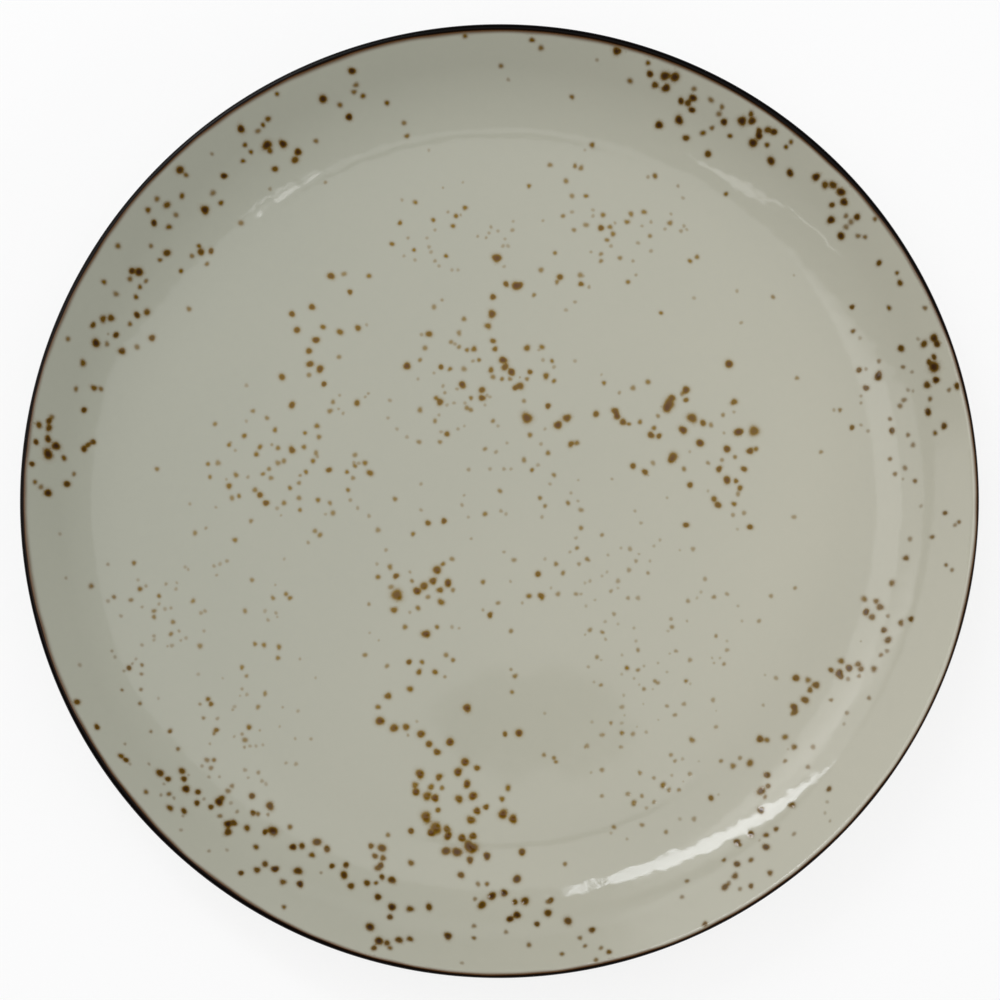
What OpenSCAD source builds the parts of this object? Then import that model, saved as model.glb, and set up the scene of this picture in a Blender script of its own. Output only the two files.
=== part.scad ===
// Coupe dinner plate: a rimless stoneware dish on a foot ring, under a cream glaze with a dark band on its lip.
// The origin is on the table, at the centre of the foot ring, and +Z points up out of the well.

/* [Plate] */
// Diameter over the lip
plate_d = 280; // [200:1:320]
// Height from the table to the top of the lip
plate_h = 26; // [22:0.5:34]

/* [Well and wall] */
// How far the wall leans out, from the bend at the edge of the floor to the lip
wall_run = 22; // [16:0.5:32]
// Radius of the knee that rounds the bend between the floor and the wall
knee_r = 42; // [15:1:55]
// Thickness of the floor, with its glaze
floor_t = 5; // [4:0.1:7]
// Thickness of the wall at the bend, with its glaze
wall_t = 4.6; // [3.4:0.1:6.5]
// Thickness of the lip, which is fully rounded
lip_t = 2.6; // [2:0.1:4]

/* [Foot ring] */
// How far the foot ring is set in from where the curve of the outside starts
foot_set_in = 16; // [6:0.5:30]
// Width of the bare foot ring
foot_w = 4.5; // [3:0.1:8]
// Height of the foot ring
foot_h = 3.5; // [2.8:0.1:6]
// Radius of the fillets at the root of the foot ring
foot_fillet_r = 1.2; // [0.6:0.1:1.6]
// Radius of the rounded edges that the foot ring rests between
foot_edge_r = 0.8; // [0.3:0.1:1]
// Height above the table at which the glaze stops and the clay is bare
bare_h = 1.2; // [1:0.1:1.5]

/* [Glaze] */
// Thickness of the glaze coats
coat_t = 0.4; // [0.2:0.05:0.6]
// How far the dark band runs down the outside, below the rounding of the lip
band_drop = 2.4; // [1:0.1:4]

/* [Hidden] */

// Steps along each round stretch of the section, and facets of a full turn
knee_steps = 20;
lip_steps = 24;
foot_steps = 8;
turn_facets = 180;

// Most of the straight wall that the knee may take up
knee_share = 0.85;

// Heights of the two faces of the floor
under_z = foot_h;
floor_z = foot_h + floor_t;

// Rounding of the lip
lip_r = lip_t / 2;
lip_centre = [plate_d / 2 - lip_r, plate_h - lip_r];

// Face: a straight wall from the bend, tangent to the inside of the lip, with the knee in the bend
bend = [plate_d / 2 - wall_run, floor_z];
wall_reach = lip_centre - bend;
wall_slope = atan2(wall_reach[1], wall_reach[0]) + asin(lip_r / norm(wall_reach));
wall_length = sqrt(wall_reach * wall_reach - lip_r * lip_r);
knee_fit_r = min(knee_r, knee_share * wall_length / tan(wall_slope / 2));
knee_centre = bend + knee_fit_r * [-tan(wall_slope / 2), 1];

// Back: the same again, tangent to the outside of the lip, so that the wall thins towards it
back_bend = [bend[0] + (wall_t - floor_t * cos(wall_slope)) / sin(wall_slope), under_z];
back_reach = lip_centre - back_bend;
back_slope = atan2(back_reach[1], back_reach[0]) - asin(lip_r / norm(back_reach));
back_knee_r = knee_fit_r + wall_t;
back_centre = back_bend + back_knee_r * [-tan(back_slope / 2), 1];

// Foot ring, as bare clay, and the centres of the fillets at its root
foot_out = back_centre[0] - foot_set_in;
foot_in = foot_out - foot_w;
fillet_out = [foot_out + coat_t + foot_fillet_r, under_z - foot_fillet_r];
fillet_in = [foot_in - coat_t - foot_fillet_r, under_z - foot_fillet_r];

// Points for the section, each stretch at a depth below the glazed surface
function toward(angle) = [cos(angle), sin(angle)];
function arc(centre, radius, from, to, steps) =
    [for (i = [0:steps]) centre + radius * toward(from + (to - from) * i / steps)];
function backwards(path) = [for (i = [len(path) - 1:-1:0]) path[i]];
function face_knee(depth) = arc(knee_centre, knee_fit_r + depth, -90, wall_slope - 90, knee_steps);
function face_end(depth) = [lip_centre + (lip_r - depth) * toward(wall_slope + 90)];
function lip(depth) = arc(lip_centre, lip_r - depth, wall_slope + 90, back_slope - 90, lip_steps);
function band_end(depth) =
    [lip_centre + (lip_r - depth) * toward(back_slope - 90) - band_drop * toward(back_slope)];
function back_knee(depth) = arc(back_centre, back_knee_r - depth, back_slope - 90, -90, knee_steps);
function root_out(depth) = arc(fillet_out, foot_fillet_r + depth, 90, 180, foot_steps);
function root_in(depth) = arc(fillet_in, foot_fillet_r + depth, 0, 90, foot_steps);

// Each sub-part is its section turned about the axis of the plate
module turned(section, shade) {
    color(shade) rotate_extrude($fn = turn_facets) polygon(section);
}

// Stoneware body: floor, wall and foot ring in one, bare only where the foot ring meets the table
module clay_body() {
    rest_out = [foot_out - foot_edge_r, foot_edge_r];
    rest_in = [foot_in + foot_edge_r, foot_edge_r];
    turned(concat(
        [[0, floor_z - coat_t]],
        face_knee(coat_t),
        lip(coat_t),
        back_knee(coat_t),
        root_out(coat_t),
        arc(rest_out, foot_edge_r, 0, -90, foot_steps),
        arc(rest_in, foot_edge_r, -90, -180, foot_steps),
        root_in(coat_t),
        [[0, under_z + coat_t]]
    ), "#CFC7B6");
}

// Cream glaze over the well and the wall, up to the rounding of the lip
module face_glaze() {
    turned(concat(
        [[0, floor_z]],
        face_knee(0),
        face_end(0),
        face_end(coat_t),
        backwards(face_knee(coat_t)),
        [[0, floor_z - coat_t]]
    ), "#B2B0A2");
}

// Dark band of glaze that wraps the lip
module rim_band() {
    turned(concat(
        lip(0),
        band_end(0),
        band_end(coat_t),
        backwards(lip(coat_t))
    ), "#1C1B1A");
}

// Cream glaze over the outside, from the dark band to the bare edge of the foot ring
module back_glaze() {
    turned(concat(
        band_end(0),
        back_knee(0),
        root_out(0),
        [[foot_out + coat_t, bare_h], [foot_out, bare_h]],
        backwards(root_out(coat_t)),
        backwards(back_knee(coat_t)),
        band_end(coat_t)
    ), "#B2B0A2");
}

// Cream glaze over the hollow inside the foot ring
module foot_well_glaze() {
    turned(concat(
        [[0, under_z]],
        backwards(root_in(0)),
        [[foot_in - coat_t, bare_h], [foot_in, bare_h]],
        root_in(coat_t),
        [[0, under_z + coat_t]]
    ), "#B2B0A2");
}

clay_body();
face_glaze();
rim_band();
back_glaze();
foot_well_glaze();
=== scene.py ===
import math
import random

import bmesh
import bpy
import numpy as np
from mathutils import Matrix, Vector
from mathutils.geometry import delaunay_2d_cdt


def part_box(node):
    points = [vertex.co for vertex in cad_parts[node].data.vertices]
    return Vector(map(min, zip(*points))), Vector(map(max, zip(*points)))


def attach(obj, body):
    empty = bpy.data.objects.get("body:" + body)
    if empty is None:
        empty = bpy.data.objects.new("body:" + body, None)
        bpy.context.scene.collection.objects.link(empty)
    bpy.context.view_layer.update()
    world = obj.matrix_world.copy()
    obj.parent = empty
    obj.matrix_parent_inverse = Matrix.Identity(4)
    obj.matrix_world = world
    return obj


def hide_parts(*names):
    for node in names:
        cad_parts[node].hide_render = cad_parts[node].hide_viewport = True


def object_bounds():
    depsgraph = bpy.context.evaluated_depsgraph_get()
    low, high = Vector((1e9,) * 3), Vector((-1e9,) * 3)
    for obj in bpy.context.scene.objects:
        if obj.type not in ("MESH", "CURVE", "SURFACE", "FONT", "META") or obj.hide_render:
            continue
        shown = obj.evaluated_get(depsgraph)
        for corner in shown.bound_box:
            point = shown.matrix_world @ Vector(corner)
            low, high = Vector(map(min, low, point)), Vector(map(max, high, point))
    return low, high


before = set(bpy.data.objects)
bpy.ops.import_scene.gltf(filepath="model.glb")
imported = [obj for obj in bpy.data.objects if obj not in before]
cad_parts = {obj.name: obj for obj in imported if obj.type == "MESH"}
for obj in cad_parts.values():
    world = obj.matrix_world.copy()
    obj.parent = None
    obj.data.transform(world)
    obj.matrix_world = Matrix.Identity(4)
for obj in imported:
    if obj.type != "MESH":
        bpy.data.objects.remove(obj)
cad_low, cad_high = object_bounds()

MM = 0.001
QUARTER_TURN = math.pi / 2
FULL_TURN = 2 * math.pi

# Sizes of the section, as the solids were turned
WALL_RUN = 22 * MM
KNEE_R = 42 * MM
WALL_T = 4.6 * MM
LIP_R = 1.3 * MM
FOOT_W = 4.5 * MM
FILLET_R = 1.2 * MM
COAT_T = 0.4 * MM
BAND_DROP = 2.4 * MM

# Sizes that the frame gives
PLATE_R = cad_high.x
PLATE_H = cad_high.z
FLOOR_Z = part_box("face_glaze")[0].z + COAT_T
UNDER_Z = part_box("foot_well_glaze")[1].z - COAT_T
BARE_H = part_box("foot_well_glaze")[0].z
FOOT_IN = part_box("foot_well_glaze")[1].x
FOOT_OUT = FOOT_IN + FOOT_W

# Face of the plate: the wall is straight from the knee to the rounding of the lip
LIP_X = PLATE_R - LIP_R
LIP_Z = PLATE_H - LIP_R
BEND_X = PLATE_R - WALL_RUN
face_reach = (LIP_X - BEND_X, LIP_Z - FLOOR_Z)
WALL_SLOPE = math.atan2(face_reach[1], face_reach[0]) + math.asin(LIP_R / math.hypot(*face_reach))
KNEE_X = BEND_X - KNEE_R * math.tan(WALL_SLOPE / 2)
KNEE_Z = FLOOR_Z + KNEE_R
WALL_FOOT_R = KNEE_X + KNEE_R * math.sin(WALL_SLOPE)
WALL_FOOT_Z = KNEE_Z - KNEE_R * math.cos(WALL_SLOPE)
WALL_TOP_R = LIP_X - LIP_R * math.sin(WALL_SLOPE)

# Back of the plate, which leans a little more so that the wall thins towards the lip
BACK_BEND_X = BEND_X + (WALL_T - (FLOOR_Z - UNDER_Z) * math.cos(WALL_SLOPE)) / math.sin(WALL_SLOPE)
back_reach = (LIP_X - BACK_BEND_X, LIP_Z - UNDER_Z)
BACK_SLOPE = math.atan2(back_reach[1], back_reach[0]) - math.asin(LIP_R / math.hypot(*back_reach))
BACK_KNEE_R = KNEE_R + WALL_T
BACK_KNEE_X = BACK_BEND_X - BACK_KNEE_R * math.tan(BACK_SLOPE / 2)
BACK_KNEE_Z = UNDER_Z + BACK_KNEE_R

# Camera: above the near side of the plate, a little to the right, with the far side up in the picture
PICTURE = 1000
SENSOR = 36
LENS = 71.33
EYE = Vector((10, -62, 600)) * MM
AIM = Vector((0.69, -3.06, 24.36)) * MM
SIGHT_ROUNDS = 40

forward = (AIM - EYE).normalized()
across = forward.cross(Vector((0, 1, 0))).normalized()
upward = across.cross(forward)


def camera():
    data = bpy.data.cameras.new("camera")
    data.lens = LENS
    data.sensor_width = SENSOR
    eye = bpy.data.objects.new("camera", data)
    eye.matrix_world = Matrix.Translation(EYE) @ Matrix((across, upward, -forward)).transposed().to_4x4()
    bpy.context.scene.collection.objects.link(eye)
    bpy.context.scene.camera = eye


# Shape of the glazed face, by radius
LEAST_RUN = 0.1 * MM


def face_height(r):
    knee = KNEE_Z - np.sqrt(np.maximum(KNEE_R ** 2 - (r - KNEE_X) ** 2, 0))
    wall = WALL_FOOT_Z + (r - WALL_FOOT_R) * math.tan(WALL_SLOPE)
    lip = LIP_Z + np.sqrt(np.maximum(LIP_R ** 2 - (r - LIP_X) ** 2, 0))
    return np.select([r < KNEE_X, r < WALL_FOOT_R, r < WALL_TOP_R], [FLOOR_Z, knee, wall], lip)


def face_slope(r):
    knee = (r - KNEE_X) / np.sqrt(np.maximum(KNEE_R ** 2 - (r - KNEE_X) ** 2, LEAST_RUN ** 2))
    lip = (LIP_X - r) / np.sqrt(np.maximum(LIP_R ** 2 - (r - LIP_X) ** 2, LEAST_RUN ** 2))
    return np.select([r < KNEE_X, r < WALL_FOOT_R, r < WALL_TOP_R], [0, knee, math.tan(WALL_SLOPE)], lip)


def on_plate(pixels):
    """Plan positions of the points of the face that the camera sees at these pixels."""
    share = (np.array(pixels, float) / PICTURE - 0.5) * SENSOR / LENS
    rays = np.array(forward) + np.outer(share[:, 0], across) - np.outer(share[:, 1], upward)
    high = np.full(len(rays), FLOOR_Z)
    for _ in range(SIGHT_ROUNDS):
        plan = np.array(EYE)[:2] + rays[:, :2] * ((high - EYE.z) / rays[:, 2])[:, None]
        high = (high + face_height(np.hypot(plan[:, 0], plan[:, 1]))) / 2
    return plan


# Hand-banded edges: slow swings of the brush, quicker trembles and a wet line that creeps
EDGE_SWING = [(1, 0.6, 2.7), (2, 0.43, 2.4), (3, 0.15, 0.8), (4, 0.12, 1.0), (5, 0.06, -1.4)]
EDGE_TREMBLE = [(11, 0.05, 1.0), (17, 0.05, 3.0), (29, 0.04, 5.1), (47, 0.03, 0.3), (83, 0.02, 2.0)]
BAND_FOOT_SWING = [(2, 0.22, 0.3), (3, 0.15, 1.9), (7, 0.09, 4.0), (19, 0.06, 2.4), (41, 0.04, 1.1)]
BARE_SWING = [(2, 0.1, 1.2), (5, 0.07, 0.2), (13, 0.05, 3.3), (31, 0.03, 2.0)]
BLEED_SWING = [(1, 0.15, 5.4), (4, 0.12, 1.0), (9, 0.08, 2.7), (23, 0.06, 0.6), (61, 0.05, 4.4)]
EDGE_R = PLATE_R - 1.5 * MM
EDGE_LEAST_R = WALL_TOP_R + 0.02 * MM
EDGE_MOST_R = PLATE_R - 0.7 * MM
BLEED_MM = 1.0
BLEED_LEAST_MM = 0.3


def swing(angle, turns):
    """Sum in mm of waves round the plate: how many go round, their size in mm and their start."""
    return sum(size * math.sin(count * angle + start) for count, size, start in turns)


def dark_edge(angle):
    """Radius at which the dark band starts: furthest in on the far side, thinnest at the right."""
    return min(max(EDGE_R + MM * swing(angle, EDGE_SWING + EDGE_TREMBLE), EDGE_LEAST_R), EDGE_MOST_R)


def dark_edge_turn(angle):
    """The same place as an angle round the lip, from 0 at the outermost point."""
    return math.acos((dark_edge(angle) - LIP_X) / LIP_R)


def bleed_reach(angle):
    """How far brown from the dark band has crept into the cream glaze."""
    return MM * max(BLEED_LEAST_MM, BLEED_MM + swing(angle, BLEED_SWING))


# Iron spots of the face, by the pixel each one shows at, in groups as they lie on the plate
# Two that fall together make a darker or a longer spot
TINY, SMALL, MEDIUM, LARGE, HUGE = "tiny", "small", "medium", "large", "huge"
SPOT_D = {TINY: 1.45 * MM, SMALL: 2.0 * MM, MEDIUM: 2.5 * MM, LARGE: 3.0 * MM, HUGE: 4.0 * MM}
SPOT_IRON = {TINY: 0.3, SMALL: 0.54, MEDIUM: 0.78, LARGE: 0.96, HUGE: 1.0}
SPOT_RISE = {TINY: 0.01 * MM, SMALL: 0.02 * MM, MEDIUM: 0.04 * MM, LARGE: 0.06 * MM, HUGE: 0.08 * MM}

upper_left_wall = {
    LARGE: [(241, 129), (267, 145), (180, 170), (205, 210), (139, 272), (96, 343)],
    MEDIUM: [
        (323, 99), (283, 144), (298, 152), (295, 160), (275, 169), (167, 205), (154, 223), (224, 176),
        (167, 253), (201, 252), (211, 251), (132, 271), (147, 312), (137, 315), (103, 319), (111, 318),
        (93, 325), (116, 335), (152, 338), (122, 351), (83, 363), (94, 388), (84, 410),
    ],
    SMALL: [
        (277, 94), (268, 119), (263, 125), (258, 131), (245, 145), (251, 152), (270, 151), (316, 141),
        (243, 161), (186, 175), (157, 199), (182, 196), (148, 210), (176, 215), (169, 227), (213, 193),
        (221, 203), (241, 223), (118, 246), (151, 246), (160, 260), (199, 246), (192, 256), (207, 264),
        (181, 271), (130, 279), (146, 281), (140, 287), (104, 282), (116, 294), (136, 297), (189, 309),
        (130, 324), (68, 339), (107, 344), (137, 347), (76, 389), (101, 389),
    ],
    TINY: [(212, 154), (270, 189)],
}
left_rim = {
    HUGE: [(48, 454)],
    LARGE: [(48, 439), (56, 446), (67, 484), (48, 493)],
    MEDIUM: [
        (49, 421), (49, 428), (93, 442), (88, 445), (84, 449), (39, 425), (36, 442), (32, 464),
        (64, 458),
    ],
    SMALL: [(52, 417), (74, 474), (35, 482), (41, 487)],
    TINY: [(60, 534), (66, 578)],
}
top_wall = {
    LARGE: [(617, 51)],
    MEDIUM: [(352, 71), (349, 117)],
    SMALL: [
        (356, 85), (354, 92), (363, 96), (340, 105), (387, 103), (404, 123), (407, 136), (465, 36),
        (532, 40), (541, 48), (501, 66), (572, 97), (630, 81), (592, 145),
    ],
    TINY: [(597, 60)],
}
upper_right_wall = {
    LARGE: [
        (665, 76), (666, 88), (675, 77), (679, 120), (742, 121), (753, 143), (771, 161), (841, 192),
        (844, 202), (831, 220), (841, 236),
    ],
    MEDIUM: [
        (650, 74), (655, 85), (681, 101), (688, 103), (693, 98), (692, 110), (659, 125), (686, 138),
        (724, 122), (752, 121), (759, 131), (759, 136), (768, 130), (774, 132), (790, 173), (708, 154),
        (816, 177), (825, 185), (833, 185), (832, 205), (857, 217), (879, 263), (900, 283),
    ],
    SMALL: [
        (648, 63), (694, 89), (711, 100), (722, 107), (719, 114), (712, 128), (703, 133), (730, 136),
        (751, 114), (767, 145), (791, 142), (786, 147), (846, 216), (851, 222), (846, 227), (858, 236),
        (865, 237), (875, 219), (897, 273), (773, 297), (852, 307), (889, 308), (925, 308), (853, 331),
    ],
}
right_wall = {
    HUGE: [(934, 367)],
    LARGE: [(934, 338), (936, 380), (927, 385)],
    MEDIUM: [
        (924, 344), (937, 344), (934, 357), (929, 362), (944, 426), (901, 349), (879, 374), (866, 388),
        (892, 430), (906, 558), (892, 583),
    ],
    SMALL: [
        (949, 390), (930, 399), (928, 412), (935, 433), (879, 361), (859, 370), (840, 410), (903, 367),
        (904, 400), (900, 406), (890, 419), (852, 428), (908, 435), (890, 459), (905, 468), (895, 474),
        (915, 481), (945, 513), (959, 522), (955, 525), (932, 537), (910, 539), (946, 565), (952, 570),
    ],
}
lower_right_knee = {
    LARGE: [(880, 607), (866, 612), (872, 617), (888, 640), (839, 673), (849, 668)],
    MEDIUM: [
        (864, 599), (876, 601), (901, 623), (911, 619), (884, 630), (858, 664), (861, 669), (831, 670),
        (841, 661), (841, 677), (874, 669),
    ],
    SMALL: [(888, 616), (887, 651), (881, 655), (848, 679), (859, 676)],
}
upper_floor = {
    LARGE: [(331, 276), (316, 340), (320, 369), (496, 258), (516, 286), (492, 314)],
    MEDIUM: [
        (350, 292), (292, 314), (312, 307), (297, 330), (323, 327), (309, 351), (310, 364), (324, 384),
        (282, 377), (292, 405), (358, 328), (340, 332), (357, 403), (506, 284), (493, 297), (488, 326),
        (429, 334),
    ],
    SMALL: [
        (344, 274), (369, 276), (309, 375), (333, 402), (330, 411), (339, 357), (534, 295), (459, 333),
    ],
    TINY: [
        (402, 200), (416, 203), (400, 223), (434, 220), (453, 226), (456, 216), (465, 207), (435, 230),
        (408, 238), (392, 244), (414, 250), (446, 256),
    ],
}
upper_right_floor = {
    MEDIUM: [(601, 228), (560, 277), (581, 284)],
    SMALL: [
        (550, 165), (575, 166), (581, 168), (566, 181), (572, 196), (586, 196), (655, 176), (603, 215),
        (631, 214), (644, 212), (627, 222), (586, 225), (574, 230), (610, 227), (613, 234), (607, 240),
        (601, 254), (620, 258), (601, 261), (555, 253), (541, 270), (557, 282), (580, 275), (628, 282),
        (670, 223), (726, 194),
    ],
}
middle_floor = {
    HUGE: [(527, 418)],
    LARGE: [
        (407, 366), (503, 360), (505, 367), (520, 386), (567, 418), (558, 425), (615, 411), (617, 416),
    ],
    MEDIUM: [
        (474, 349), (493, 341), (495, 349), (511, 371), (491, 370), (527, 348), (546, 376), (462, 384),
        (482, 390), (482, 398), (440, 402), (548, 406), (447, 434), (596, 414), (623, 422), (651, 435),
        (659, 436), (633, 466), (645, 472),
    ],
    SMALL: [
        (425, 348), (420, 360), (459, 347), (467, 350), (479, 360), (441, 367), (450, 369), (464, 369),
        (493, 377), (502, 379), (510, 379), (542, 347), (552, 361), (530, 372), (554, 381), (471, 398),
        (436, 398), (471, 410), (420, 410), (524, 401), (577, 443), (493, 421), (435, 421), (440, 442),
        (419, 442), (548, 453), (532, 470), (554, 475), (485, 449), (604, 383), (633, 388), (648, 382),
        (629, 424), (640, 422), (658, 416), (653, 463),
    ],
}
right_floor = {
    HUGE: [(669, 404), (692, 418), (673, 457), (754, 431)],
    LARGE: [
        (686, 390), (683, 430), (700, 443), (727, 449), (719, 469), (727, 480), (744, 469), (738, 432),
        (750, 451), (718, 505), (729, 364),
    ],
    MEDIUM: [
        (686, 400), (703, 423), (736, 481), (740, 488), (756, 449), (714, 499), (734, 504), (734, 402),
    ],
    SMALL: [
        (684, 469), (690, 485), (708, 463), (722, 460), (735, 457), (733, 515), (744, 513), (750, 527),
        (686, 525), (723, 415), (797, 378), (821, 452), (794, 517), (693, 549), (705, 579), (727, 594),
        (771, 596), (795, 588),
    ],
}
left_floor = {
    MEDIUM: [(292, 450), (329, 470), (229, 486), (260, 495), (266, 503), (370, 473)],
    SMALL: [
        (215, 424), (229, 445), (244, 436), (253, 411), (267, 418), (275, 430), (305, 433), (317, 426),
        (319, 437), (260, 447), (256, 454), (278, 448), (304, 447), (316, 453), (278, 463), (284, 461),
        (269, 469), (263, 474), (271, 478), (306, 472), (313, 461), (236, 475), (210, 477), (208, 464),
        (218, 463), (157, 469), (299, 483), (290, 488), (255, 490), (232, 498), (239, 496), (284, 503),
        (299, 498), (300, 510), (318, 500), (330, 503), (333, 513), (251, 521), (315, 531), (320, 535),
        (195, 533), (235, 540), (355, 455), (365, 463), (355, 466), (347, 472), (353, 478), (348, 490),
    ],
}
lower_middle_floor = {
    HUGE: [(397, 595)],
    LARGE: [(417, 591), (424, 586), (433, 581), (437, 570), (448, 583), (426, 634)],
    MEDIUM: [
        (428, 523), (444, 521), (396, 576), (394, 610), (440, 590), (441, 602), (409, 662), (538, 574),
        (529, 596), (542, 597), (490, 615),
    ],
    SMALL: [
        (413, 534), (395, 499), (500, 491), (545, 506), (568, 503), (581, 510), (581, 528), (602, 535),
        (390, 567), (378, 577), (443, 564), (452, 559), (453, 590), (412, 581), (428, 597), (418, 608),
        (391, 587), (405, 627), (437, 627), (446, 655), (453, 660), (422, 662), (387, 666), (365, 655),
        (514, 560), (558, 594), (556, 564), (483, 582), (498, 603), (511, 631),
    ],
}
lower_string = {
    LARGE: [
        (380, 721), (394, 728), (421, 734), (429, 744), (437, 752), (450, 742), (467, 708), (519, 733),
        (465, 762), (458, 772),
    ],
    MEDIUM: [(419, 672), (435, 672), (410, 689), (388, 696), (406, 727), (505, 734), (477, 768)],
    SMALL: [(378, 707), (515, 676), (512, 692)],
}
lower_cluster = {
    HUGE: [(426, 817), (503, 814), (436, 828), (472, 848), (457, 852)],
    LARGE: [
        (467, 784), (473, 796), (459, 799), (420, 774), (416, 792), (427, 796), (435, 798), (477, 811),
        (471, 820), (513, 819), (431, 833), (448, 836), (462, 838), (473, 836), (468, 845), (446, 851),
        (470, 860), (487, 856), (522, 852), (461, 875),
    ],
    MEDIUM: [
        (439, 777), (415, 785), (431, 787), (438, 810), (486, 807), (508, 788), (502, 799), (447, 829),
        (411, 831),
    ],
    SMALL: [(442, 788), (388, 835)],
}
bottom_left_wall = {
    LARGE: [
        (382, 848), (392, 880), (344, 875), (378, 897), (392, 907), (370, 927), (379, 941), (399, 940),
        (448, 936),
    ],
    MEDIUM: [
        (371, 846), (375, 856), (383, 858), (381, 865), (378, 868), (411, 863), (382, 877), (367, 883),
        (346, 865), (351, 886), (390, 917), (410, 909), (429, 907), (387, 943), (374, 948), (410, 939),
    ],
    SMALL: [(376, 883), (390, 948), (474, 926), (474, 938), (506, 932)],
    TINY: [(462, 963)],
}
bottom_wall = {
    LARGE: [
        (517, 879), (492, 896), (504, 893), (482, 905), (525, 901), (548, 913), (517, 915), (510, 919),
        (568, 921),
    ],
    MEDIUM: [(515, 902), (551, 900), (537, 924), (592, 930), (609, 952)],
    SMALL: [
        (478, 884), (487, 884), (475, 899), (548, 902), (565, 864), (580, 938), (585, 946), (601, 948),
        (596, 960), (562, 954), (529, 945),
    ],
}
lower_left_wall = {
    HUGE: [(273, 831)],
    LARGE: [
        (160, 773), (186, 789), (219, 802), (228, 824), (228, 832), (270, 806), (293, 847), (317, 842),
        (327, 849), (275, 869), (298, 871), (300, 884),
    ],
    MEDIUM: [
        (77, 702), (97, 727), (121, 756), (126, 760), (168, 779), (182, 771), (184, 779), (198, 792),
        (197, 803), (170, 808), (184, 811), (222, 798), (211, 807), (252, 796), (234, 823), (247, 828),
        (253, 813), (265, 832), (256, 847), (302, 846), (312, 855), (332, 866), (241, 873), (257, 870),
        (265, 864), (283, 882),
    ],
    SMALL: [
        (169, 794), (146, 792), (178, 749), (207, 760), (214, 760), (211, 768), (220, 816), (228, 791),
        (232, 786), (258, 814), (290, 827), (284, 907), (129, 668), (242, 667), (265, 694), (258, 707),
        (245, 740),
    ],
    TINY: [
        (142, 665), (141, 674), (122, 690), (141, 690), (140, 704), (247, 676), (242, 689), (208, 699),
        (211, 704), (203, 718), (218, 730), (214, 733), (249, 728), (250, 746), (256, 746), (311, 739),
        (298, 711), (125, 744), (130, 764), (151, 732), (170, 732), (202, 766), (209, 777), (245, 770),
        (286, 763), (296, 764), (149, 764), (164, 784), (174, 798), (183, 816), (161, 795), (204, 799),
        (231, 803), (209, 851), (227, 850), (181, 830), (262, 781), (266, 784),
    ],
}
lower_right_wall = {
    LARGE: [
        (796, 678), (816, 685), (805, 700), (794, 707), (760, 739), (750, 763), (767, 775), (761, 791),
        (761, 810), (751, 834), (766, 847), (737, 864), (725, 887),
    ],
    MEDIUM: [
        (808, 680), (810, 690), (795, 712), (767, 740), (785, 737), (794, 747), (733, 766), (768, 786),
        (711, 798), (829, 789), (776, 829), (766, 835), (737, 842), (751, 860), (735, 876), (751, 886),
        (770, 873), (792, 805), (692, 740),
    ],
    SMALL: [
        (792, 714), (831, 700), (869, 698), (847, 713), (813, 747), (740, 758), (721, 761), (785, 761),
        (808, 767), (765, 797), (690, 774), (716, 727), (713, 700), (684, 704), (671, 755), (675, 761),
        (679, 790), (669, 790), (694, 819), (724, 664), (776, 678), (686, 681), (675, 715), (667, 706),
        (740, 845), (724, 860), (729, 883), (740, 889), (794, 834), (682, 897), (687, 881),
    ],
    TINY: [(844, 724), (825, 813), (830, 821)],
}
lower_right_floor = {
    MEDIUM: [(627, 668), (622, 733), (634, 803), (663, 785)],
    SMALL: [
        (638, 670), (601, 685), (622, 707), (644, 689), (655, 681), (611, 723), (602, 735), (633, 734),
        (587, 746), (621, 747), (554, 758), (556, 762), (544, 755), (602, 770), (640, 773), (654, 778),
        (628, 794), (642, 796), (654, 802), (602, 796), (642, 825), (614, 827), (666, 832),
    ],
    TINY: [(592, 722), (611, 833), (627, 839)],
}
faint_middle = {
    MEDIUM: [(463, 386), (515, 388), (512, 373), (571, 444)],
    SMALL: [(451, 342), (441, 367), (467, 408), (530, 435), (524, 460), (527, 379), (530, 372)],
    TINY: [
        (455, 344), (473, 361), (434, 373), (418, 379), (443, 386), (457, 389), (490, 397), (454, 403),
        (447, 405), (465, 403), (485, 405), (439, 415), (388, 418), (458, 429), (407, 437), (397, 429),
        (498, 426), (545, 429), (541, 444), (507, 443), (496, 452), (511, 469), (504, 469), (490, 469),
        (538, 465), (539, 350), (543, 360), (554, 367), (575, 361),
    ],
}
upper_specks = {
    MEDIUM: [(499, 258), (520, 285)],
    SMALL: [
        (415, 202), (433, 220), (456, 216), (465, 208), (453, 226), (400, 223), (392, 244), (414, 250),
        (446, 256), (529, 186), (563, 216), (434, 307), (464, 319), (650, 236), (690, 261), (697, 257),
        (661, 313),
    ],
    TINY: [
        (448, 212), (427, 238), (404, 256), (415, 260), (429, 247), (431, 252), (435, 261), (439, 266),
        (458, 270), (452, 270), (491, 227), (498, 231), (489, 233), (505, 239), (503, 246), (508, 246),
        (572, 212), (575, 302), (648, 177), (678, 186), (683, 198), (593, 210), (593, 216), (651, 222),
        (642, 226), (671, 214), (684, 226), (681, 231), (665, 229), (615, 223), (611, 246), (591, 252),
        (633, 261), (638, 243), (651, 251), (636, 275), (583, 276), (589, 287), (737, 291), (694, 298),
        (566, 310),
    ],
}
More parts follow.
